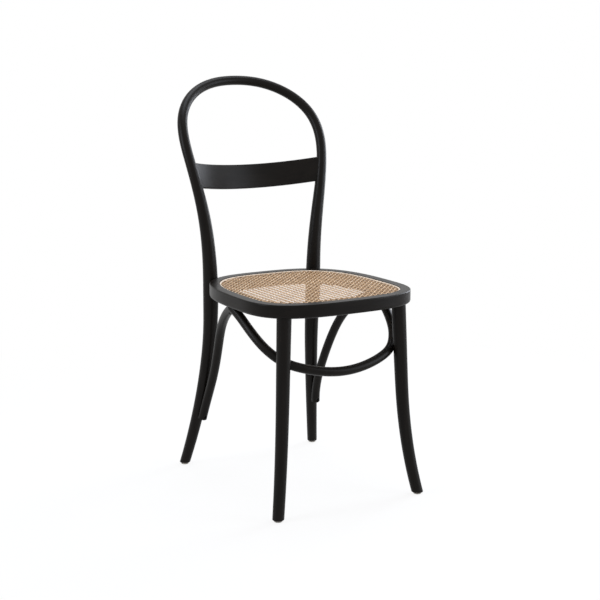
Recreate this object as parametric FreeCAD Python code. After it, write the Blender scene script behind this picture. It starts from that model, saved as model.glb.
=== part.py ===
import FreeCAD, Part
import math
import os

# Bentwood bistro chair with a caned seat.
# All sizes are in millimetres. X runs across the chair, Y runs back, Z is up from the floor.
# While it is built, Y is measured from the seat's widest line; the end of the script moves the
# whole chair so that its origin is on the floor under the middle of its bounding box.

# Seat frame: a bent ring whose front and back halves are superellipses on one widest line
seat_height = 460.0
seat_half_width = 200.0
seat_front_reach = 153.5
seat_back_reach = 258.0
seat_front_fullness = 3.1
seat_back_fullness = 2.96
ring_thickness = 29.5
ring_width = 46.0
ring_top_round = 2.5
ring_bottom_round = 6.0

# Cane, set in a groove in the ring and held there by a reed spline
cane_margin = 22.5
cane_recess = 2.0
cane_thickness = 1.2
cane_openings_across = 12
cane_opening_spacing = 26.6
cane_opening_width = 14.0
cane_land = 1.5
groove_width = 5.0
groove_depth = 6.5
spline_crown = 0.8
spline_round = 1.5
spline_clearance = 0.05

# Back frame: both rear legs and the hoop are one bent rod
post_joint_angle = 58.7
post_notch = 0.6
post_notch_clearance = 0.3
joint_flat = 0.2
post_waist_height = 341.0
rear_foot_splay = 41.0
rear_leg_splay_power = 1.6
rear_rake_height = 439.0
rear_foot_rake = 69.5
rear_leg_rake_power = 1.78
hoop_top_height = 901.0
hoop_rise = 126.0
hoop_half_width = 178.7
hoop_fullness = 2.2
hoop_swell_power = 1.87
hoop_lean = 139.5
hoop_lean_power = 3.75
rear_foot_radius = 11.8
post_radius = 17.8
post_thickest_height = 425.0
hoop_radius = 11.7
hoop_taper_rate = 1.25
crown_radius = 11.0

# Front legs
front_leg_inset = 21.8
front_leg_corner_angle = 46.6
front_leg_slope_x = 0.040
front_leg_slope_y = 0.034
front_foot_flare_x = 18.3
front_foot_flare_y = 21.1
front_flare_height = 270.0
front_flare_power = 2.3
front_foot_radius = 12.7
front_leg_top_radius = 15.9
tenon_radius = 9.5
tenon_length = 16.0
tenon_clearance = 0.15
socket_spare = 1.5
foot_chamfer = 1.0

# Back slat, bowed back between the posts
slat_drop = 208.0
slat_height = 57.0
slat_thickness = 9.0
slat_bow = 45.0
slat_lean = 17.0
slat_setback = 3.0
slat_edge_round = 2.5
slat_scribe = 7.0
tongue_depth = 9.0
tongue_shoulder = 5.0
tongue_thickness = 7.0
tongue_clearance = 0.15

# Bow behind the front legs, and the two braces that run from under the seat to the rear legs
rod_radius = 10.2
apex_inset = 13.6
apex_setback = 44.6
apex_drop = 2.0
bow_middle_drop = 131.2
bow_middle_reach = 115.7
bow_quarter_reach = 105.2
bow_quarter_inset = 104.0
bow_quarter_drop = 116.5
bow_contact_drop = 100.5
bow_contact_bearing = 126.0
bow_side_inset = 34.0
bow_side_reach = 54.1
bow_side_drop = 70.0
bow_rise_inset = 20.8
bow_rise_reach = 6.7
bow_rise_drop = 33.5
brace_shoulder_inset = 23.6
brace_shoulder_setback = 90.6
brace_shoulder_drop = 24.5
brace_elbow_inset = 37.3
brace_elbow_setback = 143.9
brace_elbow_drop = 67.0
brace_middle_inset = 47.5
brace_middle_setback = 183.4
brace_middle_drop = 129.0
brace_low_inset = 52.0
brace_low_setback = 215.6
brace_low_drop = 194.5
brace_foot_drop = 305.0
brace_foot_bearing = -95.0
contact_flat = 0.3
contact_reach = 14.0
rod_spare = 12.0
end_chamfer = 1.5

# Floor glides with their nails
glide_radius = 9.0
glide_height = 4.0
glide_chamfer = 1.0
nail_radius = 1.2
nail_head_radius = 3.0
nail_head_height = 1.2
nail_head_sink = 0.8
nail_length = 20.0
nail_point = 3.0

# Fasteners
bolt_radius = 3.0
bolt_rise = 11.5
bolt_head_radius = 7.5
bolt_head_height = 3.2
bolt_head_sink = 5.0
bolt_head_clearance = 0.4
bolt_head_round = 1.5
bolt_end = 2.5
socket_across = 4.0
socket_depth = 2.0
washer_radius = 8.0
washer_thickness = 1.5
washer_seat_depth = 2.0
nut_across = 10.0
nut_height = 5.0
screw_radius = 2.0
screw_head_radius = 4.0
screw_head_height = 2.4
screw_slot_width = 1.0
screw_slot_depth = 1.1
screw_slot_overrun = 1.0
screw_tip = 5.0
seat_screw_length = 35.0
seat_screw_distance = 14.0
seat_screw_sink = 4.0
leg_screw_length = 34.0
leg_screw_sink = 4.0
brace_screw_rise = 9.0
lock_screw_length = 24.0
lock_screw_rise = 8.0
lock_screw_sink = 0.5
pin_radius = 1.2
pin_length = 16.0
pin_sink = 0.4
hole_clearance = 0.1

# Length that the legs have to spare before they are sawn level
saw_allowance = 10.0

# Number of circles and points that shape the bent pieces, the height step that a slope is
# measured over, and a direction that no bent piece runs in, which its circles start from
hoop_sections = 41
leg_sections = 11
rod_sections = 25
brace_sections = 15
outline_points = 48
post_steps = 16
hoop_steps = 8
leg_steps = 8
slope_step = 1.0
section_side = (0.3, 1.0, 0.2)

seat_bottom = seat_height - ring_thickness
hoop_widest_height = hoop_top_height - hoop_rise
slat_centre_height = hoop_top_height - slat_drop
bow_contact_height = seat_bottom - bow_contact_drop
brace_foot_height = seat_bottom - brace_foot_drop
cane_top = seat_height - cane_recess
ledge_height = cane_top - cane_thickness
groove_floor = ledge_height - groove_depth
up = FreeCAD.Vector(0, 0, 1)
far = 1000.0
level_tolerance = 0.01


def vector(x, y, z):
    return FreeCAD.Vector(x, y, z)


def signed_power(value, power):
    return math.copysign(abs(value) ** power, value)


def seat_outline(angle, inset=0.0):
    """Point on the seat's outline at an angle from +X, moved inward by the inset."""
    back = math.sin(angle) > 0
    reach = seat_back_reach if back else seat_front_reach
    fullness = seat_back_fullness if back else seat_front_fullness
    x = seat_half_width * signed_power(math.cos(angle), 2 / fullness)
    y = reach * signed_power(math.sin(angle), 2 / fullness)
    normal = seat_normal(x, y, reach, fullness)
    return vector(x, y, 0) - normal * inset


def seat_normal(x, y, reach, fullness):
    slope_x = signed_power(x / seat_half_width, fullness - 1) / seat_half_width
    slope_y = signed_power(y / reach, fullness - 1) / reach
    return vector(slope_x, slope_y, 0).normalize()


def outward(angle):
    """Outward normal of the seat's outline at an angle from +X."""
    return (seat_outline(angle) - seat_outline(angle, 1.0)).normalize()


def seat_loop(inset, height):
    """Closed wire with the seat's outline, moved inward by the inset."""
    points = []
    for step in range(outline_points):
        angle = 2 * math.pi * step / outline_points
        points.append(seat_outline(angle, inset) + up * height)
    curve = Part.BSplineCurve()
    curve.interpolate(Points=points, PeriodicFlag=True)
    return Part.Wire(curve.toShape())


def seat_prism(inset, low, high):
    """Solid inside the seat's outline, moved inward by the inset, between two heights."""
    return Part.Face(seat_loop(inset, low)).extrude(up * (high - low))


def seat_band(inset, inner_inset, low, high):
    """Ring-shaped solid between two outlines and between two heights."""
    loops = [seat_loop(inset, low), seat_loop(inner_inset, low)]
    return Part.makeFace(loops, "Part::FaceMakerBullseye").extrude(up * (high - low))


def smooth_curve(points):
    curve = Part.BSplineCurve()
    curve.interpolate(points)
    return curve


def bent_rod(curve, radius_at, sections, start_spare=0.0, end_spare=0.0):
    """Round rod along a curve, with a radius for each height and straight spare length at its ends."""
    places = []
    for point in curve.discretize(Number=sections):
        places.append((point, curve.tangent(curve.parameter(point))[0]))
    if start_spare:
        point, along = places[0]
        places.insert(0, (point - along * start_spare, along))
    if end_spare:
        point, along = places[-1]
        places.append((point + along * end_spare, along))
    circles = []
    side = vector(*section_side)
    for point, along in places:
        side = (side - along * side.dot(along)).normalize()
        circle = Part.Circle(point, along, radius_at(point.z))
        circle.XAxis = side
        circles.append(Part.Wire(circle.toShape()))
    return Part.makeLoft(circles, True, False)


def half_space(point, normal):
    """Large block on the side of a plane that its normal points to."""
    return placed(Part.makeBox(2 * far, 2 * far, far, vector(-far, -far, 0)), point, normal)


def flat_cutter(point, normal):
    """Block that planes a small flat where two round pieces touch."""
    size = 2 * contact_reach
    return placed(Part.makeBox(size, size, size, vector(-size / 2, -size / 2, 0)), point, normal)


def placed(shape, base, axis):
    """The shape with its own Z axis turned to the axis and its origin moved to the base."""
    shape.Placement = FreeCAD.Placement(base, FreeCAD.Rotation(up, axis))
    return shape


def turned(profile):
    """Solid turned around Z from (radius, height) corners."""
    corners = [vector(radius, 0, height) for radius, height in profile]
    corners.append(corners[0])
    return Part.Face(Part.makePolygon(corners)).revolve(vector(0, 0, 0), up, 360)


def hexagon(across, height):
    """Six-sided prism of a width across its flats, standing on the origin."""
    corners = [bearing(60 * side) * (across / math.sqrt(3)) for side in range(7)]
    return Part.Face(Part.makePolygon(corners)).extrude(up * height)


def level_edges(shape, height):
    """The level edges of a shape at a height, longest first."""
    found = []
    for edge in shape.Edges:
        box = edge.optimalBoundingBox(False, False)
        if abs(box.ZMin - height) < level_tolerance and abs(box.ZMax - height) < level_tolerance:
            found.append(edge)
    return sorted(found, key=lambda edge: -edge.Length)


def rod(base, axis, radius, length):
    return Part.makeCylinder(radius, length, base, axis)


def mirrored(shape):
    return shape.mirror(vector(0, 0, 0), vector(1, 0, 0))


def pair(shape):
    """The piece and its mirror image, as two separate solids."""
    return Part.makeCompound([shape, mirrored(shape)])


def blend(start, end, share):
    return start + (end - start) * share


def bearing(degrees):
    """Level unit vector at an angle from +X."""
    return vector(math.cos(math.radians(degrees)), math.sin(math.radians(degrees)), 0)


def square_to(line, height, degrees):
    """Unit vector square to a leg's centreline at a height, towards a bearing."""
    along = (line(height + slope_step) - line(height - slope_step)).normalize()
    level = bearing(degrees)
    return (level - along * level.dot(along)).normalize()


# Centrelines


def back_offset(height):
    """How far the rear leg rakes back, or the hoop leans back, from the post at a height."""
    if height < rear_rake_height:
        return rear_foot_rake * (1 - height / rear_rake_height) ** rear_leg_rake_power
    share = (height - rear_rake_height) / (hoop_top_height - rear_rake_height)
    return hoop_lean * share ** hoop_lean_power


def swell_share(height):
    """How far the posts have spread from the waist towards the hoop's width, from 0 to 1."""
    share = (height - post_waist_height) / (hoop_widest_height - post_waist_height)
    swell = min(max(share, 0.0), 1.0) ** hoop_swell_power
    return swell * swell * (3 - 2 * swell)


def back_radius(height):
    if height < post_thickest_height:
        return blend(rear_foot_radius, post_radius, max(height, 0) / post_thickest_height)
    if height < hoop_widest_height:
        share = (height - post_thickest_height) / (hoop_widest_height - post_thickest_height)
        return blend(post_radius, hoop_radius, min(1.0, share * hoop_taper_rate))
    share = (height - hoop_widest_height) / (hoop_top_height - hoop_widest_height)
    return blend(hoop_radius, crown_radius, min(share, 1.0))


joint_angle = math.radians(post_joint_angle)
joint_outward = outward(joint_angle)
joint_height = seat_bottom + bolt_rise
joint_radius = back_radius(joint_height)
joint_point = seat_outline(joint_angle, joint_flat) + up * joint_height
post_centre = joint_point + joint_outward * (joint_radius - post_notch)
post_depth = post_centre.y - back_offset(joint_height)
joint_swell = swell_share(joint_height)
post_half_width = (post_centre.x - hoop_half_width * joint_swell) / (1 - joint_swell)
slat_depth = post_depth + back_offset(slat_centre_height) + slat_setback


def back_point(height):
    """Centre of the right rear leg or post, up to where the hoop is widest."""
    splay = rear_foot_splay * max(0.0, 1 - height / post_waist_height) ** rear_leg_splay_power
    x = blend(post_half_width, hoop_half_width, swell_share(height)) + splay
    return vector(x, post_depth + back_offset(height), height)


def hoop_point(angle):
    """Point on the hoop's bend; 0 is at its widest on the right and 90 degrees at its top."""
    height = hoop_widest_height
    height += (hoop_top_height - hoop_widest_height) * signed_power(math.sin(angle), 2 / hoop_fullness)
    x = hoop_half_width * signed_power(math.cos(angle), 2 / hoop_fullness)
    return vector(x, post_depth + back_offset(height), height)


def front_leg_point(height):
    drop = seat_bottom - height
    flare = max(0.0, 1 - height / front_flare_height) ** front_flare_power
    x = leg_top.x + front_leg_slope_x * drop + front_foot_flare_x * flare
    y = leg_top.y - front_leg_slope_y * drop - front_foot_flare_y * flare
    return vector(x, y, height)


def front_leg_radius(height):
    return blend(front_foot_radius, front_leg_top_radius, height / seat_bottom)


slat_middle = vector(0, slat_depth, slat_centre_height)
slat_half_width = back_point(slat_centre_height).x - back_radius(slat_centre_height)
slat_radius = (slat_half_width ** 2 + slat_bow ** 2) / (2 * slat_bow)
leg_angle = -math.radians(front_leg_corner_angle)
leg_top = seat_outline(leg_angle, front_leg_inset) + up * seat_bottom
bow_outward = square_to(front_leg_point, bow_contact_height, bow_contact_bearing)
bow_leg_point = front_leg_point(bow_contact_height)
bow_leg_plane = bow_leg_point + bow_outward * (front_leg_radius(bow_contact_height) - contact_flat)
bow_contact = bow_leg_plane + bow_outward * (rod_radius - contact_flat)
apex = vector(seat_half_width - apex_inset, apex_setback, seat_bottom - apex_drop)
brace_screw_height = brace_foot_height + brace_screw_rise
brace_outward = square_to(back_point, brace_screw_height, brace_foot_bearing)
brace_leg_point = back_point(brace_screw_height)
brace_leg_plane = brace_leg_point + brace_outward * (back_radius(brace_leg_point.z) - contact_flat)
brace_contact = brace_leg_plane + brace_outward * (rod_radius - contact_flat)
brace_foot = brace_contact + back_point(brace_foot_height) - brace_leg_point


# Pieces

def back_frame_rod():
    stock = hoop_widest_height + saw_allowance
    right = [back_point(stock * step / post_steps - saw_allowance) for step in range(post_steps)]
    right += [hoop_point(math.pi / 2 * step / hoop_steps) for step in range(hoop_steps)]
    top = [hoop_point(math.pi / 2)]
    left = [vector(-point.x, point.y, point.z) for point in reversed(right)]
    return bent_rod(smooth_curve(right + top + left), back_radius, hoop_sections)


def front_leg_rod():
    stock = seat_bottom + 2 * saw_allowance
    points = [front_leg_point(stock * step / leg_steps - saw_allowance) for step in range(leg_steps + 1)]
    return bent_rod(smooth_curve(points), front_leg_radius, leg_sections)


def under_seat(inset, depth, drop):
    """Point under the right half of the seat, inward from its side and down from its underside."""
    return vector(seat_half_width - inset, depth, seat_bottom - drop)


def bow_curve():
    right = [
        under_seat(bow_quarter_inset, -bow_quarter_reach, bow_quarter_drop),
        bow_contact,
        under_seat(bow_side_inset, -bow_side_reach, bow_side_drop),
        under_seat(bow_rise_inset, -bow_rise_reach, bow_rise_drop),
        apex,
    ]
    left = [vector(-point.x, point.y, point.z) for point in reversed(right)]
    middle = under_seat(seat_half_width, -bow_middle_reach, bow_middle_drop)
    return smooth_curve(left + [middle] + right)


def brace_curve():
    return smooth_curve([
        apex,
        under_seat(brace_shoulder_inset, brace_shoulder_setback, brace_shoulder_drop),
        under_seat(brace_elbow_inset, brace_elbow_setback, brace_elbow_drop),
        under_seat(brace_middle_inset, brace_middle_setback, brace_middle_drop),
        under_seat(brace_low_inset, brace_low_setback, brace_low_drop),
        brace_contact,
        brace_foot,
    ])


def plain_rod(curve, sections, start_spare, end_spare):
    return bent_rod(curve, lambda height: rod_radius, sections, start_spare, end_spare)


def along_from_end(curve, distance):
    """Point on a curve at a distance before its end."""
    return curve.value(curve.parameterAtDistance(-distance, curve.LastParameter))


def screw(base, axis, length):
    """Countersunk slotted screw; the base is the middle of its head's top."""
    solid = turned([
        (0, 0),
        (screw_head_radius, 0),
        (screw_radius, screw_head_height),
        (screw_radius, length - screw_tip),
        (0, length),
    ])
    reach = screw_head_radius + screw_slot_overrun
    corner = vector(-reach, -screw_slot_width / 2, -screw_slot_overrun)
    slot = Part.makeBox(2 * reach, screw_slot_width, screw_slot_overrun + screw_slot_depth, corner)
    return placed(solid.cut(slot), base, axis)


def screw_hole(base, axis, length):
    """Hole for a screw, open outward from its head."""
    head = screw_head_radius + hole_clearance
    shank = screw_radius + hole_clearance
    solid = turned([
        (0, -contact_reach),
        (head, -contact_reach),
        (head, 0),
        (shank, screw_head_height),
        (shank, length - screw_tip),
        (0, length),
    ])
    return placed(solid, base, axis)


def bolt_place(distance):
    """Point on the right bolt's axis, outward from the face between the post and the seat."""
    return joint_point + joint_outward * distance


def head_seat():
    """How far out from the joint the bolt's head bears on the post."""
    return 2 * joint_radius - post_notch - bolt_head_sink


def nut_seat():
    """Where the washer bears on the seat frame's inner edge, inward from the joint."""
    return -(ring_width - joint_flat - washer_seat_depth)


def bow_seat_screw():
    base = along_from_end(bow_curve(), seat_screw_distance) - up * (rod_radius - seat_screw_sink)
    return base, up, seat_screw_length


def brace_seat_screw():
    curve = brace_curve()
    centre = curve.value(curve.parameterAtDistance(seat_screw_distance, curve.FirstParameter))
    return centre - up * (rod_radius - seat_screw_sink), up, seat_screw_length


def bow_leg_screw():
    return bow_contact + bow_outward * (rod_radius - leg_screw_sink), -bow_outward, leg_screw_length


def brace_leg_screw():
    return brace_contact + brace_outward * (rod_radius - leg_screw_sink), -brace_outward, leg_screw_length


def lock_screw():
    """Screw through the ring's inner edge that keeps a front leg's tenon from turning."""
    height = up * (seat_bottom + lock_screw_rise)
    base = seat_outline(leg_angle, ring_width - lock_screw_sink) + height
    return base, outward(leg_angle), lock_screw_length


def sawn_level(shape):
    """A leg cut level above its glide, with its lower edge broken."""
    shape = shape.cut(half_space(up * glide_height, -up))
    return shape.makeChamfer(foot_chamfer, level_edges(shape, glide_height))


def both_sides(tools):
    """One compound of the tools on the right and their mirror images on the left."""
    return Part.makeCompound(tools + [mirrored(tool) for tool in tools])


def post_pocket():
    """Notch in the right post that takes the edge of the seat frame."""
    height = ring_thickness + 2 * post_notch_clearance
    corner = vector(-post_radius, -post_radius, seat_bottom - post_notch_clearance)
    block = Part.makeBox(post_radius, 2 * post_radius, height, corner)
    turn = FreeCAD.Rotation(vector(1, 0, 0), joint_outward)
    block.Placement = FreeCAD.Placement(vector(joint_point.x, joint_point.y, 0), turn)
    return block


def bolt_hole():
    """Hole for the right bolt, wider at one end for its washer and at the other for its head."""
    inner_end = nut_seat() - contact_reach
    outer_end = head_seat() + contact_reach
    washer_recess = washer_radius + bolt_head_clearance
    hole = bolt_radius + hole_clearance
    head_recess = bolt_head_radius + bolt_head_clearance
    solid = turned([
        (0, inner_end),
        (washer_recess, inner_end),
        (washer_recess, nut_seat()),
        (hole, nut_seat()),
        (hole, head_seat()),
        (head_recess, head_seat()),
        (head_recess, outer_end),
        (0, outer_end),
    ])
    return placed(solid, joint_point, joint_outward)


def foot_centre(place):
    return vector(place.x, place.y, 0)


def nail_hole(place):
    """Hole for a glide's nail in the leg above it."""
    return rod(foot_centre(place), up, nail_radius + hole_clearance, nail_head_sink + nail_length)


def slat_pin(radius, start_spare):
    """Pin driven from behind through the right post and the slat's tongue."""
    post = back_radius(slat_centre_height)
    off_centre = post - tongue_depth / 2
    back_face = math.sqrt(post ** 2 - off_centre ** 2) - slat_setback - pin_sink
    base = vector(slat_half_width + tongue_depth / 2, back_face + start_spare, 0)
    return lean_slat(rod(base, vector(0, -1, 0), radius, start_spare + pin_length))


def slat_band(thickness, height, half_width):
    """Curved strip, bowed back, out to a half width on both sides."""
    middle = vector(0, slat_bow - slat_radius, -height / 2)
    strip = rod(middle, up, slat_radius + thickness / 2, height)
    strip = strip.cut(rod(middle, up, slat_radius - thickness / 2, height))
    corner = vector(-half_width, slat_bow - slat_radius, -height / 2)
    return strip.common(Part.makeBox(2 * half_width, 2 * slat_radius, height, corner))


def slat_tongues(clearance):
    """Thinner strip whose ends are the tongues in the posts."""
    height = slat_height - 2 * tongue_shoulder + 2 * clearance
    reach = slat_half_width + tongue_depth + clearance
    return lean_slat(slat_band(tongue_thickness + 2 * clearance, height, reach))


def lean_slat(shape):
    shape.rotate(vector(0, 0, 0), vector(1, 0, 0), -slat_lean)
    shape.translate(slat_middle)
    return shape


def make_back_frame():
    frame = sawn_level(back_frame_rod())
    flats = both_sides([post_pocket(), flat_cutter(brace_leg_plane, brace_outward)])
    holes = both_sides([
        bolt_hole(),
        screw_hole(*brace_leg_screw()),
        slat_pin(pin_radius + hole_clearance, contact_reach),
        nail_hole(back_point(glide_height)),
    ])
    return frame.cut(flats).cut(slat_tongues(tongue_clearance)).cut(holes)


def make_back_slat():
    body = slat_band(slat_thickness, slat_height, slat_half_width + slat_scribe)
    long_edges = [edge for edge in body.Edges if edge.Length > slat_half_width]
    body = lean_slat(body.makeFillet(slat_edge_round, long_edges))
    slat = body.cut(back_frame_rod()).fuse(slat_tongues(0))
    return slat.cut(pair(slat_pin(pin_radius + hole_clearance, contact_reach)))


def make_seat_frame():
    ring = seat_band(0, ring_width, seat_bottom, seat_height)
    ring = ring.makeFillet(ring_top_round, level_edges(ring, seat_height)[:1])
    ring = ring.makeFillet(ring_bottom_round, level_edges(ring, seat_bottom)[:1])
    groove = seat_band(cane_margin, cane_margin + groove_width, groove_floor, seat_height)
    middle_of_groove = cane_margin + groove_width / 2
    rebate = seat_prism(middle_of_groove, ledge_height, seat_height)
    flats = both_sides([half_space(joint_point, joint_outward)])
    holes = both_sides([
        rod(leg_top, up, tenon_radius + tenon_clearance, tenon_length + socket_spare),
        bolt_hole(),
        screw_hole(*bow_seat_screw()),
        screw_hole(*brace_seat_screw()),
    ])
    locks = both_sides([screw_hole(*lock_screw())])
    return ring.cut(groove).cut(rebate).cut(flats).cut(holes).cut(locks)


def cane_openings():
    """Square openings in a plain grid, where the ring doesn't back the cane."""
    field = Part.Face(seat_loop(ring_width + cane_land, seat_bottom))
    size = cane_opening_width
    first = -(cane_opening_spacing * (cane_openings_across - 1) + size) / 2
    middle_depth = (seat_back_reach - seat_front_reach) / 2
    corners = [vector(0, 0, 0), vector(size, 0, 0), vector(0, size, 0), vector(size, size, 0)]
    openings = []
    for column in range(cane_openings_across):
        for row in range(cane_openings_across):
            x = first + column * cane_opening_spacing
            y = middle_depth + first + row * cane_opening_spacing
            place = vector(x, y, seat_bottom)
            if all(field.isInside(place + corner, level_tolerance, True) for corner in corners):
                openings.append(Part.makeBox(size, size, ring_thickness, place))
    return Part.makeCompound(openings)


def make_cane_panel():
    """Sheet of open cane whose edge is turned down into the groove."""
    edge = cane_margin + groove_width - cane_thickness
    panel = seat_prism(edge, groove_floor, cane_top)
    panel = panel.cut(seat_prism(cane_margin + groove_width, seat_bottom, ledge_height))
    return panel.cut(cane_openings())


def make_cane_spline():
    """Reed bead that fills the groove beside the cane's turned edge."""
    crown = cane_top + spline_crown
    inner = cane_margin + groove_width - cane_thickness - spline_clearance
    bead = seat_band(cane_margin + spline_clearance, inner, groove_floor, crown)
    return bead.makeFillet(spline_round, level_edges(bead, crown))


def make_front_leg():
    leg = sawn_level(front_leg_rod().cut(half_space(leg_top, up)))
    leg = leg.fuse(rod(leg_top, up, tenon_radius, tenon_length))
    leg = leg.cut(flat_cutter(bow_leg_plane, bow_outward))
    nail = nail_hole(front_leg_point(glide_height))
    return leg.cut(Part.makeCompound([nail, screw_hole(*bow_leg_screw()), screw_hole(*lock_screw())]))


def make_front_bow():
    bow = plain_rod(bow_curve(), rod_sections, rod_spare, rod_spare)
    bow = bow.cut([half_space(up * seat_bottom, up), half_space(apex, vector(0, 1, 0))])
    bow = bow.cut(both_sides([flat_cutter(bow_leg_plane, -bow_outward)]))
    return bow.cut(both_sides([screw_hole(*bow_leg_screw()), screw_hole(*bow_seat_screw())]))


def make_rear_brace():
    brace = plain_rod(brace_curve(), brace_sections, rod_spare, 0)
    end = [edge for edge in brace.Edges if edge.CenterOfMass.distanceToPoint(brace_foot) < end_chamfer]
    brace = brace.makeChamfer(end_chamfer, end)
    brace = brace.cut([half_space(up * seat_bottom, up), half_space(apex, vector(0, -1, 0))])
    brace = brace.cut(flat_cutter(brace_leg_plane, -brace_outward))
    return brace.cut(Part.makeCompound([screw_hole(*brace_leg_screw()), screw_hole(*brace_seat_screw())]))


def make_bolt():
    """Domed bolt with a hexagonal socket."""
    length = head_seat() - nut_seat() + washer_thickness + nut_height + bolt_end
    bolt = turned([
        (0, -bolt_head_height),
        (bolt_head_radius, -bolt_head_height),
        (bolt_head_radius, 0),
        (bolt_radius, 0),
        (bolt_radius, length),
        (0, length),
    ])
    bolt = bolt.makeFillet(bolt_head_round, level_edges(bolt, -bolt_head_height))
    socket = hexagon(socket_across, socket_depth)
    socket.translate(up * -bolt_head_height)
    return placed(bolt.cut(socket), bolt_place(head_seat()), -joint_outward)


def make_washer():
    washer = rod(vector(0, 0, 0), up, washer_radius, washer_thickness)
    washer = washer.cut(rod(vector(0, 0, 0), up, bolt_radius + hole_clearance, washer_thickness))
    return placed(washer, bolt_place(nut_seat()), -joint_outward)


def make_nut():
    nut = hexagon(nut_across, nut_height)
    nut = nut.cut(rod(vector(0, 0, 0), up, bolt_radius + hole_clearance, nut_height))
    return placed(nut, bolt_place(nut_seat() - washer_thickness), -joint_outward)


def make_glide(place):
    """Round floor glide with a recess for its nail's head."""
    pocket = nail_head_radius + hole_clearance
    hole = nail_radius + hole_clearance
    glide = turned([
        (hole, glide_height),
        (glide_radius, glide_height),
        (glide_radius, glide_chamfer),
        (glide_radius - glide_chamfer, 0),
        (pocket, 0),
        (pocket, nail_head_sink + nail_head_height),
        (hole, nail_head_sink + nail_head_height),
    ])
    return placed(glide, foot_centre(place), up)


def make_nail(place):
    nail = turned([
        (0, nail_head_sink),
        (nail_head_radius, nail_head_sink),
        (nail_head_radius, nail_head_sink + nail_head_height),
        (nail_radius, nail_head_sink + nail_head_height),
        (nail_radius, nail_head_sink + nail_length - nail_point),
        (0, nail_head_sink + nail_length),
    ])
    return placed(nail, foot_centre(place), up)


front_leg = make_front_leg()
rear_brace = make_rear_brace()
front_glide = make_glide(front_leg_point(glide_height))
rear_glide = make_glide(back_point(glide_height))
front_nail = make_nail(front_leg_point(glide_height))
rear_nail = make_nail(back_point(glide_height))

pieces = {
    "back_frame": make_back_frame(),
    "back_slat": make_back_slat(),
    "slat_pins": pair(slat_pin(pin_radius, 0)),
    "seat_frame": make_seat_frame(),
    "cane_panel": make_cane_panel(),
    "cane_spline": make_cane_spline(),
    "back_bolts": pair(make_bolt()),
    "back_bolt_washers": pair(make_washer()),
    "back_bolt_nuts": pair(make_nut()),
    "front_leg_left": mirrored(front_leg),
    "front_leg_right": front_leg,
    "leg_lock_screws": pair(screw(*lock_screw())),
    "front_bow": make_front_bow(),
    "bow_leg_screws": pair(screw(*bow_leg_screw())),
    "bow_seat_screws": pair(screw(*bow_seat_screw())),
    "rear_brace_left": mirrored(rear_brace),
    "rear_brace_right": rear_brace,
    "brace_leg_screws": pair(screw(*brace_leg_screw())),
    "brace_seat_screws": pair(screw(*brace_seat_screw())),
    "foot_glide_front_left": mirrored(front_glide),
    "foot_glide_front_right": front_glide,
    "foot_glide_rear_left": mirrored(rear_glide),
    "foot_glide_rear_right": rear_glide,
    "glide_nails": Part.makeCompound([pair(front_nail), pair(rear_nail)]),
}

# The origin is on the floor under the middle of the chair's bounding box
outer = Part.makeCompound([pieces["back_frame"], pieces["seat_frame"], pieces["front_leg_right"]])
outer_box = outer.optimalBoundingBox(False, False)
to_origin = vector(0, -(outer_box.YMin + outer_box.YMax) / 2, 0)

os.makedirs("parts", exist_ok=True)
for name, shape in pieces.items():
    shape.translate(to_origin)
    solids = shape.Solids
    single = solids[0] if len(solids) == 1 else Part.makeCompound(solids)
    single.exportStep("parts/" + name + ".step")
    print(name, len(solids), "solid(s),", round(shape.Volume / 1000, 2), "cm3")
print("box", outer_box, "moved by", to_origin)
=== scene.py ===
import math

import bpy
from mathutils import Matrix, Vector


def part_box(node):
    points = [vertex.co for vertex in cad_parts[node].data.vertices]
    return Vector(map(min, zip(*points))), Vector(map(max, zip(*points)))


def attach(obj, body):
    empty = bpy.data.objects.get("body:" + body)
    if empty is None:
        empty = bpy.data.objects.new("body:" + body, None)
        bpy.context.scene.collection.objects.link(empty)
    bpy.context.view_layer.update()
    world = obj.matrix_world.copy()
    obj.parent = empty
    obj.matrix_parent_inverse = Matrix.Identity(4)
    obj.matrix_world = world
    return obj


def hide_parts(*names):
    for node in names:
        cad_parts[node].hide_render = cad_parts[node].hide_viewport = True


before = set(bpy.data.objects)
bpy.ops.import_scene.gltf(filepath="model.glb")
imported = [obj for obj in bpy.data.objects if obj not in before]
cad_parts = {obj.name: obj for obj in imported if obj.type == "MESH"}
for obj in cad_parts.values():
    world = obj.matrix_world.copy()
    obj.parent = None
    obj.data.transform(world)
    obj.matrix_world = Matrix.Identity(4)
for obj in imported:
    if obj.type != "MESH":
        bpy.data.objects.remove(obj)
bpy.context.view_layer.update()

# Bentwood bistro chair: materials, woven cane, floor, light and camera.
# All sizes are in metres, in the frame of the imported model.

# The seat's outline, as in the solids: two superellipses on the widest line
seat_low, seat_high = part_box("seat_frame")
front_reach = 0.1535
front_fullness = 3.1
back_fullness = 2.96
half_width = (seat_high.x - seat_low.x) / 2
widest_line = seat_low.y + front_reach
back_reach = seat_high.y - widest_line
outline_steps = 720

# The hoop's bend, as in the solids: half a superellipse on top of the posts
hoop_widest_height = 0.775
hoop_rise = 0.126
hoop_half_width = 0.1787
hoop_fullness = 2.2

# The back's lean above the seat
seat_height = 0.439
hoop_top = 0.901
lean_reach = 0.1395
lean_power = 3.75

# Woven cane
weave_pitch = 0.0133
pair_share = 0.146
pair_offset = pair_share * weave_pitch
slant = math.sqrt(0.5)
strand_width = 0.0017
diagonal_width = 0.0017
strand_thickness = 0.00036
weave_height = seat_high.z - 0.0026
pair_lift = 0.0002
diagonal_lift = 0.00038
cane_margin = 0.0225
turn_inset = cane_margin + 0.0056
end_inset = cane_margin + 0.0045
turn_drop = 0.0011
end_drop = 0.0050

# Camera at the photograph's place, in metres, degrees and millimetres of focal length
camera_place = (-1.5206, -2.6352, 1.0153)
camera_turn = -30.44
camera_drop = 11.177
camera_roll = 0.065
focal_length = 81.57


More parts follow.
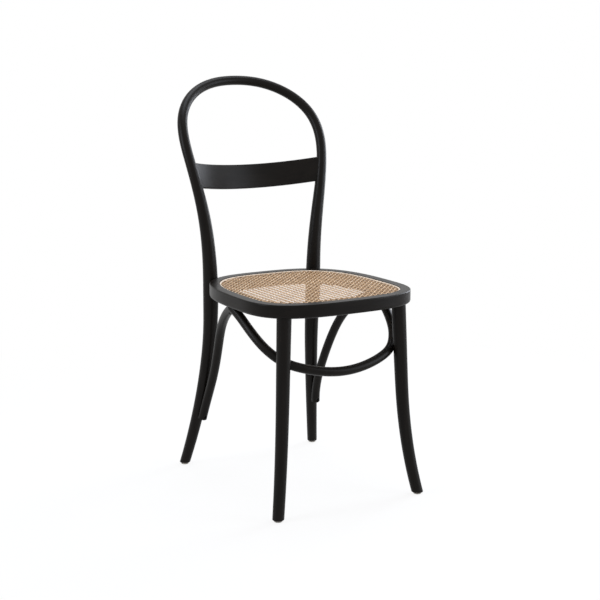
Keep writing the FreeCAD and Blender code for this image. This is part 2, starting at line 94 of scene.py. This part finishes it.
class Wire:
    """Output of a shader node that takes part in Python arithmetic."""

    def __init__(self, shader, socket):
        self.shader = shader
        self.socket = socket

    def __add__(self, other):
        return self.shader.math("ADD", self, other)

    def __radd__(self, other):
        return self.shader.math("ADD", other, self)

    def __sub__(self, other):
        return self.shader.math("SUBTRACT", self, other)

    def __rsub__(self, other):
        return self.shader.math("SUBTRACT", other, self)

    def __mul__(self, other):
        return self.shader.math("MULTIPLY", self, other)

    def __rmul__(self, other):
        return self.shader.math("MULTIPLY", other, self)

    def __truediv__(self, other):
        return self.shader.math("DIVIDE", self, other)

    def __rtruediv__(self, other):
        return self.shader.math("DIVIDE", other, self)


class Shader:
    """Node tree of one material or world."""

    def __init__(self, owner):
        self.owner = owner
        self.owner.use_nodes = True
        self.tree = self.owner.node_tree
        self.tree.nodes.clear()

    def node(self, kind, settings, sockets, output=0):
        """Adds a node of a kind, with its settings and the values or links of its sockets."""
        made = self.tree.nodes.new(kind)
        for name, value in settings.items():
            setattr(made, name, value)
        for name, value in sockets.items():
            if isinstance(value, Wire):
                self.tree.links.new(value.socket, made.inputs[name])
            else:
                made.inputs[name].default_value = value
        return Wire(self, made.outputs[output]) if made.outputs else None

    def math(self, operation, *values):
        return self.node("ShaderNodeMath", {"operation": operation}, dict(enumerate(values)))

    def place(self):
        """The point on the object, as its X, Y and Z in metres."""
        point = self.node("ShaderNodeTexCoord", {}, {}, "Object")
        return [self.node("ShaderNodeSeparateXYZ", {}, {0: point}, axis) for axis in "XYZ"]

    def vector(self, x, y, z):
        return self.node("ShaderNodeCombineXYZ", {}, {0: x, 1: y, 2: z})

    def noise(self, vector, detail=3.0, roughness=0.55):
        """Noise from 0 to 1 whose grains are one unit of the vector wide."""
        sockets = {"Vector": vector, "Scale": 1.0, "Detail": detail, "Roughness": roughness}
        return self.node("ShaderNodeTexNoise", {}, sockets)

    def grain(self, across, height, along, fine, coarse, detail=3.0):
        """Noise drawn out along the grain: fine and coarse are grains per metre across and along it."""
        return self.noise(self.vector(across * fine, height * fine, along * coarse), detail)

    def step(self, value, low, high):
        """0 below the low limit, 1 above the high one, and smooth between them."""
        settings = {"interpolation_type": "SMOOTHSTEP"}
        return self.node("ShaderNodeMapRange", settings, {0: value, 1: low, 2: high})

    def mix(self, share, first, second):
        """Colour that goes from the first to the second as the share goes from 0 to 1."""
        ends = [colour if isinstance(colour, Wire) else (*colour, 1.0) for colour in (first, second)]
        # The mix node's colours are its sockets 6 and 7, and its colour output is number 2
        return self.node("ShaderNodeMix", {"data_type": "RGBA"}, {0: share, 6: ends[0], 7: ends[1]}, 2)

    def bump(self, height, depth):
        return self.node("ShaderNodeBump", {}, {"Height": height, "Distance": depth, "Strength": 1.0})

    def background_ray(self):
        """1 for what the camera sees straight or in a reflection or glass, and 0 for other rays."""
        kinds = ("Is Camera Ray", "Is Glossy Ray", "Is Transmission Ray")
        camera, glossy, through = [self.node("ShaderNodeLightPath", {}, {}, kind) for kind in kinds]
        return self.math("MAXIMUM", self.math("MAXIMUM", camera, glossy), through)

    def surface(self, sockets):
        """Ends the material in one Principled shader and returns it."""
        shader = self.node("ShaderNodeBsdfPrincipled", {}, sockets)
        self.node("ShaderNodeOutputMaterial", {}, {"Surface": shader})
        return self.owner


def upright_grain(shader):
    """Grain along the legs: across, across and along, in metres."""
    return shader.place()


def ring_grain(shader):
    """Grain round the seat."""
    x, y, z = shader.place()
    back = y - widest_line
    turn = shader.math("ARCTAN2", back, x)
    across = shader.math("SQRT", x * x + back * back)
    return across, z, turn * half_width


def hoop_grain(shader):
    """Grain up both legs and over the hoop."""
    x, y, z = shader.place()
    rise = shader.math("MAXIMUM", z - hoop_widest_height, 0.0) / hoop_rise
    side = shader.math("ABSOLUTE", x) / hoop_half_width
    turn = shader.math("ARCTAN2", rise, side)
    round_share = shader.math("POWER", side, hoop_fullness) + shader.math("POWER", rise, hoop_fullness)
    across = shader.math("POWER", round_share, 1 / hoop_fullness)
    below = shader.math("MINIMUM", z, hoop_widest_height)
    climb = shader.math("MAXIMUM", z - seat_height, 0.0) / (hoop_top - seat_height)
    lean = shader.math("POWER", climb, lean_power) * lean_reach
    return across * hoop_half_width, y - lean, below + turn * hoop_half_width


def level_grain(shader):
    """Grain along the slat."""
    x, y, z = shader.place()
    return y, z, x


def black_wood(name, grain):
    """Bent beech under a satin black lacquer that lets the pores show."""
    shader = Shader(bpy.data.materials.new(name))
    across, height, along = grain(shader)
    pores = shader.grain(across, height, along, fine=700, coarse=22)
    figure = shader.grain(across, height, along, fine=90, coarse=4)
    cloud = shader.grain(across, height, along, fine=22, coarse=9)
    open_pores = shader.step(pores, 0.54, 0.76)
    colour = shader.mix(shader.step(figure, 0.3, 0.7), (0.0036, 0.0026, 0.0018), (0.0064, 0.0048, 0.0036))
    colour = shader.mix(open_pores * 0.5, colour, (0.0030, 0.0024, 0.0020))
    return shader.surface({
        "Base Color": colour,
        "Roughness": 0.30 + cloud * 0.10 + open_pores * 0.08,
        "Normal": shader.bump(figure * 0.5 - open_pores * 0.35, 0.00003),
        "Specular IOR Level": 0.11,
    })


def cane_skin(name, along_x, along_y, low_tone, high_tone):
    """Split cane: pale glossy skin with lengthwise fibres and small colour changes."""
    shader = Shader(bpy.data.materials.new(name))
    x, y, z = shader.place()
    along = x * along_x + y * along_y
    across = x * -along_y + y * along_x
    fibres = shader.noise(shader.vector(across * 4200, z * 2500, along * 60), 3.0)
    stain = shader.noise(shader.vector(across * 160, 0.0, along * 24))
    strand = shader.noise(shader.vector(across * 420, 3.0, along * 4), 1.0)
    tone = shader.mix(shader.step(strand, 0.32, 0.68), low_tone, high_tone)
    tone = shader.mix(shader.step(stain, 0.56, 0.80) * 0.55, tone, (0.24, 0.130, 0.058))
    tone = shader.mix(shader.step(fibres, 0.50, 0.78) * 0.45, tone, (0.26, 0.165, 0.095))
    return shader.surface({
        "Base Color": tone,
        "Roughness": 0.36 + fibres * 0.2,
        "Normal": shader.bump(fibres, 0.00004),
    })


def reed(name):
    """Round reed bead, pale and matt, with long fibres."""
    shader = Shader(bpy.data.materials.new(name))
    across, height, along = ring_grain(shader)
    fibres = shader.grain(across, height, along, fine=2600, coarse=40)
    stain = shader.grain(across, height, along, fine=60, coarse=18)
    tone = shader.mix(shader.step(fibres, 0.35, 0.75), (0.84, 0.71, 0.57), (0.66, 0.52, 0.38))
    tone = shader.mix(shader.step(stain, 0.5, 0.8) * 0.35, tone, (0.60, 0.45, 0.30))
    return shader.surface({
        "Base Color": tone,
        "Roughness": 0.48 + fibres * 0.2,
        "Normal": shader.bump(fibres, 0.00006),
    })


def dark_steel(name):
    """Blackened steel with fine turning marks and small scratches."""
    shader = Shader(bpy.data.materials.new(name))
    x, y, z = shader.place()
    marks = shader.grain(x, y, z, fine=1500, coarse=9000, detail=2.0)
    wear = shader.grain(x, y, z, fine=420, coarse=420, detail=4.0)
    tone = shader.mix(shader.step(wear, 0.5, 0.75), (0.030, 0.029, 0.029), (0.16, 0.155, 0.15))
    return shader.surface({
        "Base Color": tone,
        "Metallic": 0.9,
        "Roughness": 0.30 + marks * 0.25,
        "Normal": shader.bump(marks, 0.00002),
    })


def glide_plastic(name):
    """Beige nylon, scuffed where it slides on the floor."""
    shader = Shader(bpy.data.materials.new(name))
    x, y, z = shader.place()
    speckle = shader.grain(x, y, z, fine=1400, coarse=1400)
    scuffs = shader.noise(shader.vector(x * 3000, y * 260, z * 500), 3.0)
    low = 1 - shader.step(z, 0.0, 0.0022)
    tone = shader.mix(speckle, (0.30, 0.27, 0.23), (0.40, 0.37, 0.32))
    tone = shader.mix(shader.step(scuffs, 0.5, 0.7) * low, tone, (0.20, 0.18, 0.16))
    return shader.surface({
        "Base Color": tone,
        "Roughness": 0.42 + speckle * 0.2,
        "Normal": shader.bump(speckle, 0.00003),
    })


def studio_floor(name):
    """Pale floor that the camera sees as white, with the chair's soft shadow on it."""
    shader = Shader(bpy.data.materials.new(name))
    x, y, z = shader.place()
    dust = shader.noise(shader.vector(x * 40, y * 40, z), 2.0)
    tone = shader.mix(dust, (0.86, 0.86, 0.86), (0.90, 0.90, 0.90))
    matt = shader.node("ShaderNodeBsdfDiffuse", {}, {"Color": tone})
    glow = shader.node("ShaderNodeEmission", {}, {"Color": (1.0, 1.0, 1.0, 1.0), "Strength": 1.0})
    distance = shader.math("SQRT", x * x + y * y)
    share = 0.88 + 0.12 * shader.step(distance, 0.4, 1.5)
    floor = shader.node("ShaderNodeMixShader", {}, {0: shader.background_ray() * share, 1: matt, 2: glow})
    shader.node("ShaderNodeOutputMaterial", {}, {"Surface": floor})
    return shader.owner


def signed_power(value, power):
    return math.copysign(abs(value) ** power, value)


def outline_point(angle, inset):
    """Point on the seat's outline at an angle from +X, moved inward by the inset."""
    back = math.sin(angle) > 0
    reach = back_reach if back else front_reach
    fullness = back_fullness if back else front_fullness
    x = half_width * signed_power(math.cos(angle), 2 / fullness)
    y = reach * signed_power(math.sin(angle), 2 / fullness)
    slope_x = signed_power(x / half_width, fullness - 1) / half_width
    slope_y = signed_power(y / reach, fullness - 1) / reach
    return Vector((x, y)) - Vector((slope_x, slope_y)).normalized() * inset


def outline_loop(inset):
    steps = range(outline_steps)
    return [outline_point(2 * math.pi * (step + 0.5) / outline_steps, inset) for step in steps]


def line_span(loop, start, along):
    """Distances along a line at which it enters and leaves a loop, or None."""
    across = Vector((-along.y, along.x))
    found = []
    for here, after in zip(loop, loop[1:] + loop[:1]):
        side = (here - start).dot(across)
        after_side = (after - start).dot(across)
        if (side > 0) != (after_side > 0):
            share = side / (side - after_side)
            found.append((here.lerp(after, share) - start).dot(along))
    return (min(found), max(found)) if found else None


def smooth(share):
    return share * share * (3 - 2 * share)


def pair_wave(distance, first_is_over):
    """Height of a strand of a pair where it passes over and under the pairs that it crosses."""
    phase = (distance / weave_pitch + 0.5) % 1.0 - 0.5
    if abs(phase) <= pair_share:
        share = smooth((phase + pair_share) / (2 * pair_share))
    else:
        share = 1 - smooth(((phase - pair_share) % 1.0) / (1 - 2 * pair_share))
    height = pair_lift * (1 - 2 * share)
    return height if first_is_over else -height


def diagonal_wave(distance):
    """Height of a diagonal, over one kind of pair and under the other."""
    return diagonal_lift * math.cos(math.pi * distance / (weave_pitch * slant))


def pair_stops(low, high):
    """Distances at which a strand of a pair is sampled: at each crossing and between them."""
    quarter_way = pair_share + (0.5 - pair_share) / 4
    phases = [-pair_share, 0, pair_share, quarter_way, 0.5, 1 - quarter_way]
    stops = []
    for turn in range(math.floor(low / weave_pitch) - 1, math.ceil(high / weave_pitch) + 1):
        stops += [(turn + phase) * weave_pitch for phase in phases]
    return [stop for stop in stops if low < stop < high]


def diagonal_stops(low, high):
    """Distances at which a diagonal is sampled: four to each crossing."""
    gap = weave_pitch * slant / 4
    steps = range(math.ceil(low / gap), math.floor(high / gap) + 1)
    return [step * gap for step in steps if low < step * gap < high]


def strand_profile(width):
    """Cross section of a split strand: flat below and rounded above."""
    half = width / 2
    low = -strand_thickness / 2
    high = strand_thickness / 2
    return [(-half, low), (half, low), (half, 0), (half / 2, high), (-half / 2, high), (-half, 0)]


def add_strand(vertices, faces, line, along, width):
    """Sweeps the strand's section along a line of (distance point, height) places."""
    across = Vector((-along.y, along.x))
    profile = strand_profile(width)
    count = len(profile)
    first = len(vertices)
    for place, (point, height) in enumerate(line):
        before = line[max(place - 1, 0)]
        after = line[min(place + 1, len(line) - 1)]
        run_before = (point - before[0]).length
        run_after = (after[0] - point).length
        # Where the strand hangs straight down at its end, it has no run on one side
        run = run_before + run_after if run_before and run_after else 0.0
        tilt = math.atan2(after[1] - before[1], run)
        for side, up in profile:
            level = point + across * side - along * (up * math.sin(tilt))
            vertices.append((level.x, level.y + widest_line, weave_height + height + up * math.cos(tilt)))
    for place in range(len(line) - 1):
        for corner in range(count):
            beside = (corner + 1) % count
            row = first + place * count
            faces.append((row + corner, row + beside, row + count + beside, row + count + corner))
    faces.append(tuple(first + corner for corner in reversed(range(count))))
    faces.append(tuple(first + (len(line) - 1) * count + corner for corner in range(count)))


def strand_line(start, along, stops_between, wave):
    """Places along one strand, whose ends turn down into the groove, or None off the seat."""
    turn = line_span(turn_loop, start, along)
    end = line_span(end_loop, start, along)
    if turn is None or turn[1] - turn[0] < weave_pitch:
        return None
    heights = [(start + along * stop, wave(stop)) for stop in stops_between(*turn)]
    head = start + along * end[0]
    tail = start + along * end[1]
    before = [(head, -end_drop), (head, -turn_drop), (start + along * turn[0], 0.0)]
    after = [(start + along * turn[1], 0.0), (tail, -turn_drop), (tail, -end_drop)]
    return before + heights + after


def woven_layer(name, along, starts, width, stops_between, material):
    """All strands of the seat that run one way, as one piece."""
    vertices = []
    faces = []
    for start, wave in starts:
        line = strand_line(start, along, stops_between, wave)
        if line:
            add_strand(vertices, faces, line, along, width)
    mesh = bpy.data.meshes.new(name)
    mesh.from_pydata(vertices, [], faces)
    mesh.shade_smooth()
    mesh.materials.append(material)
    layer = bpy.data.objects.new(name, mesh)
    bpy.context.scene.collection.objects.link(layer)
    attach(layer, "root")
    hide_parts("cane_panel")
    return layer


def pair_starts(across, first_is_over):
    """Starting points and waves of the strands of all pairs that run one way."""
    starts = []
    reach = math.ceil(max(half_width, back_reach) / weave_pitch)
    for turn in range(-reach, reach + 1):
        for side in (-1, 1):
            start = across * (turn * weave_pitch + side * pair_offset)
            over = first_is_over == (side < 0)
            starts.append((start, lambda distance, over=over: pair_wave(distance, over)))
    return starts


def diagonal_starts(across):
    """Starting points and waves of all diagonals that run one way."""
    starts = []
    reach = math.ceil((half_width + back_reach) / weave_pitch)
    for turn in range(-reach, reach + 1):
        offset = (turn + 0.5) * weave_pitch * slant
        starts.append((across * offset, lambda distance, offset=offset: diagonal_wave(distance + offset)))
    return starts


# Tones of the cane, each from its darkest to its palest. The paler set is painted sheen on the rising
# diagonals, and the darker honey set stands for the other strands in less light
sheen_lit_cane_tones = ((0.64, 0.44, 0.25), (0.90, 0.70, 0.47))
honey = ((0.30, 0.158, 0.064), (0.55, 0.340, 0.172))
turn_loop = outline_loop(turn_inset)
end_loop = outline_loop(end_inset)

woven_layer(
    "cane_strands_front_to_back", Vector((0, 1)), pair_starts(Vector((1, 0)), False), strand_width,
    pair_stops, cane_skin("cane skin front to back", 0.0, 1.0, *honey),
)
woven_layer(
    "cane_strands_side_to_side", Vector((1, 0)), pair_starts(Vector((0, 1)), True), strand_width,
    pair_stops, cane_skin("cane skin side to side", 1.0, 0.0, *honey),
)
# The rising diagonals take the paler tones, a painted sheen for the light that catches strands running
# this way
woven_layer(
    "cane_diagonals_rising", Vector((slant, slant)), diagonal_starts(Vector((-slant, slant))),
    diagonal_width, diagonal_stops, cane_skin("cane skin rising with painted sheen", slant, slant, *sheen_lit_cane_tones),
)
woven_layer(
    "cane_diagonals_falling", Vector((slant, -slant)), diagonal_starts(Vector((slant, slant))),
    diagonal_width, diagonal_stops, cane_skin("cane skin falling", slant, -slant, *honey),
)


def dress(material, *names):
    """Gives CAD nodes their material."""
    for name in names:
        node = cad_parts[name]
        for slot in range(len(node.data.materials)):
            node.data.materials[slot] = material
        if not node.data.materials:
            node.data.materials.append(material)


dress(black_wood("black wood of the back", hoop_grain), "back_frame")
dress(black_wood("black wood of the slat", level_grain), "back_slat")
dress(black_wood("black wood round the seat", ring_grain), "seat_frame", "front_bow")
dress(
    black_wood("black wood of the legs", upright_grain),
    "front_leg_left", "front_leg_right", "rear_brace_left", "rear_brace_right",
)
dress(reed("pale reed"), "cane_spline")
dress(
    dark_steel("blackened steel"),
    "back_bolts", "back_bolt_washers", "back_bolt_nuts", "bow_leg_screws", "bow_seat_screws",
    "brace_leg_screws", "brace_seat_screws", "leg_lock_screws", "glide_nails", "slat_pins",
)
dress(
    glide_plastic("beige nylon"),
    "foot_glide_front_left", "foot_glide_front_right", "foot_glide_rear_left", "foot_glide_rear_right",
)
dress(cane_skin("cane sheet", 0.0, 1.0, *honey), "cane_panel")


def add_floor(half_size):
    """Flat square floor at the height of the glides."""
    corners = [(-half_size, -half_size, 0), (half_size, -half_size, 0)]
    corners += [(half_size, half_size, 0), (-half_size, half_size, 0)]
    mesh = bpy.data.meshes.new("studio_floor")
    mesh.from_pydata(corners, [], [(0, 1, 2, 3)])
    mesh.materials.append(studio_floor("pale studio floor"))
    floor = bpy.data.objects.new("studio_floor", mesh)
    bpy.context.scene.collection.objects.link(floor)


def add_lamp(name, place, target, width, height, power):
    """Soft rectangular lamp, slightly cool, that faces a target."""
    data = bpy.data.lights.new(name, "AREA")
    data.color = (0.86, 0.91, 1.0)
    data.shape = "RECTANGLE"
    data.size = width
    data.size_y = height
    data.energy = power
    lamp = bpy.data.objects.new(name, data)
    lamp.location = place
    lamp.rotation_euler = (Vector(target) - Vector(place)).to_track_quat("-Z", "Y").to_euler()
    bpy.context.scene.collection.objects.link(lamp)


def add_world():
    """Even pale light all round, which the camera sees as white."""
    world = bpy.data.worlds.new("white studio")
    shader = Shader(world)
    white = shader.node("ShaderNodeBackground", {}, {"Color": (1.0, 1.0, 1.0, 1.0), "Strength": 1.0})
    soft = shader.node("ShaderNodeBackground", {}, {"Color": (1.0, 1.0, 1.0, 1.0), "Strength": 0.35})
    light = shader.node("ShaderNodeMixShader", {}, {0: shader.background_ray(), 1: soft, 2: white})
    shader.node("ShaderNodeOutputWorld", {}, {"Surface": light})
    bpy.context.scene.world = world


def add_camera():
    """Camera with the photograph's turn, downward tilt and small roll."""
    data = bpy.data.cameras.new("camera")
    data.lens = focal_length
    data.sensor_width = 36.0
    camera = bpy.data.objects.new("camera", data)
    turn = Matrix.Rotation(math.radians(camera_turn), 4, "Z")
    tilt = Matrix.Rotation(math.radians(90 - camera_drop), 4, "X")
    roll = Matrix.Rotation(math.radians(camera_roll), 4, "Z")
    camera.matrix_world = Matrix.Translation(camera_place) @ turn @ tilt @ roll
    bpy.context.scene.collection.objects.link(camera)
    bpy.context.scene.camera = camera


add_floor(12.0)
add_world()
add_lamp("right window", (2.4, 0.4, 1.3), (0, 0, 0.5), 1.2, 2.0, 60)
add_lamp("front right window", (2.1, -1.9, 1.1), (0, 0, 0.5), 1.3, 1.9, 38)
add_lamp("left window", (-2.6, 0.2, 1.6), (0, 0, 0.5), 1.0, 1.8, 38)
add_lamp("overhead", (0.3, 0.4, 3.2), (0, 0, 0.4), 1.8, 1.8, 50)
add_camera()

bpy.context.scene.view_settings.view_transform = "Standard"
